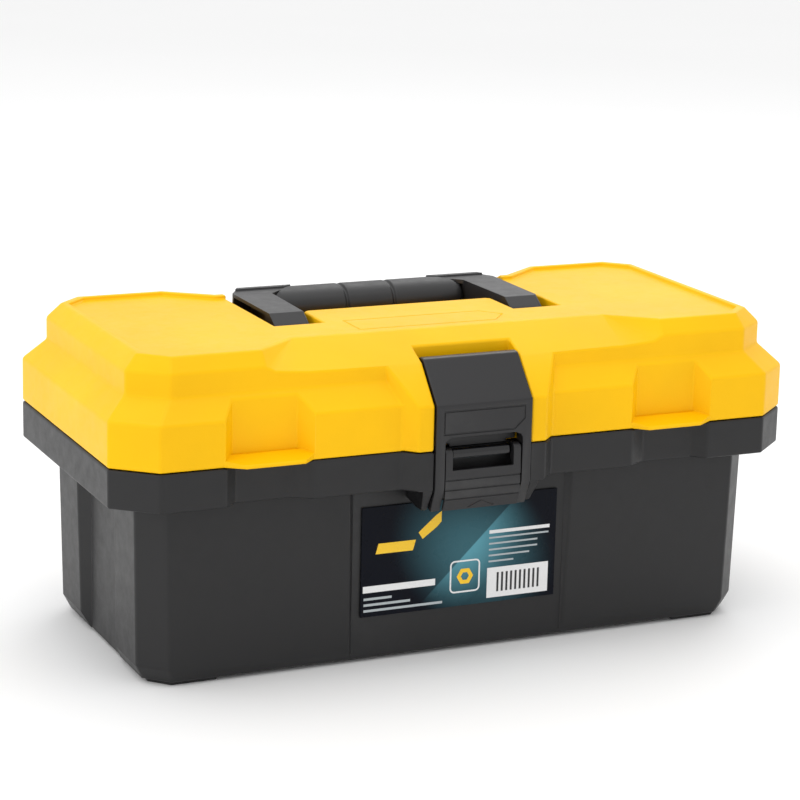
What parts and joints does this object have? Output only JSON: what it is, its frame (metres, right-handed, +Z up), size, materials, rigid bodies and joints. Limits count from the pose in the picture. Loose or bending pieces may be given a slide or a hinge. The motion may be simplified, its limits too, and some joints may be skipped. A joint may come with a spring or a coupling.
{
  "type": "toolbox with tray",
  "caption": "Hand-carried moulded toolbox with a hinged stepped lid, folding top handle, front latch and a lift-out tray with removable dividers.",
  "frame": {"origin": "on the ground under the middle of the whole box", "axes": "+X along the length, +Y from the latched front to the hinged back, +Z up"},
  "size_m": [0.29, 0.1549, 0.1309],
  "materials": {
    "tub_plastic": "fine moulded grain, satin",
    "lid_plastic": "fine moulded grain, satin",
    "handle_plastic": "satin moulded",
    "grip_rubber": "soft matte",
    "latch_plastic": "satin moulded",
    "tray_plastic": "satin moulded",
    "pin_steel": "drawn wire",
    "label_print": "printed film"
  },
  "bodies": {
    "tub": {"tub": "tub_plastic", "hinge_pin_left": "pin_steel", "hinge_pin_right": "pin_steel", "front_label": "label_print"},
    "lid": {"lid": "lid_plastic", "latch_pin": "pin_steel"},
    "handle": {"handle_bow": "handle_plastic", "handle_grip": "grip_rubber"},
    "latch": {"latch_plate": "latch_plastic"},
    "lever": {"latch_lever": "latch_plastic"},
    "tray": {"tray": "tray_plastic"},
    "divider_1": {"tray_divider_1": "tray_plastic"},
    "divider_2": {"tray_divider_2": "tray_plastic"},
    "divider_3": {"tray_divider_3": "tray_plastic"}
  },
  "joints": [
    {"name": "lid_hinge", "type": "hinge", "parent": "tub", "child": "lid", "pos_m": [0, 0.0734, 0.08875], "axis": [-1, 0, 0], "range_deg": [0, 105]},
    {"name": "handle_hinge", "type": "hinge", "parent": "lid", "child": "handle", "pos_m": [0, -0.004, 0.1196], "axis": [1, 0, 0], "range_deg": [0, 90]},
    {"name": "latch_hinge", "type": "hinge", "parent": "lid", "child": "latch", "pos_m": [0, -0.0611, 0.1189], "axis": [-1, 0, 0], "range_deg": [0, 120]},
    {"name": "lever_hinge", "type": "hinge", "parent": "latch", "child": "lever", "pos_m": [0, -0.0747, 0.0869], "axis": [-1, 0, 0], "range_deg": [0, 60]},
    {"name": "tray_lift", "type": "slide", "parent": "tub", "child": "tray", "axis": [0, 0, 1], "range_m": [0, 0.009]},
    {"name": "divider_1_slide", "type": "slide", "parent": "tray", "child": "divider_1", "axis": [0, 0, 1], "range_m": [0, 0.016]},
    {"name": "divider_2_slide", "type": "slide", "parent": "tray", "child": "divider_2", "axis": [0, 0, 1], "range_m": [0, 0.016]},
    {"name": "divider_3_slide", "type": "slide", "parent": "tray", "child": "divider_3", "axis": [0, 0, 1], "range_m": [0, 0.016]}
  ]
}
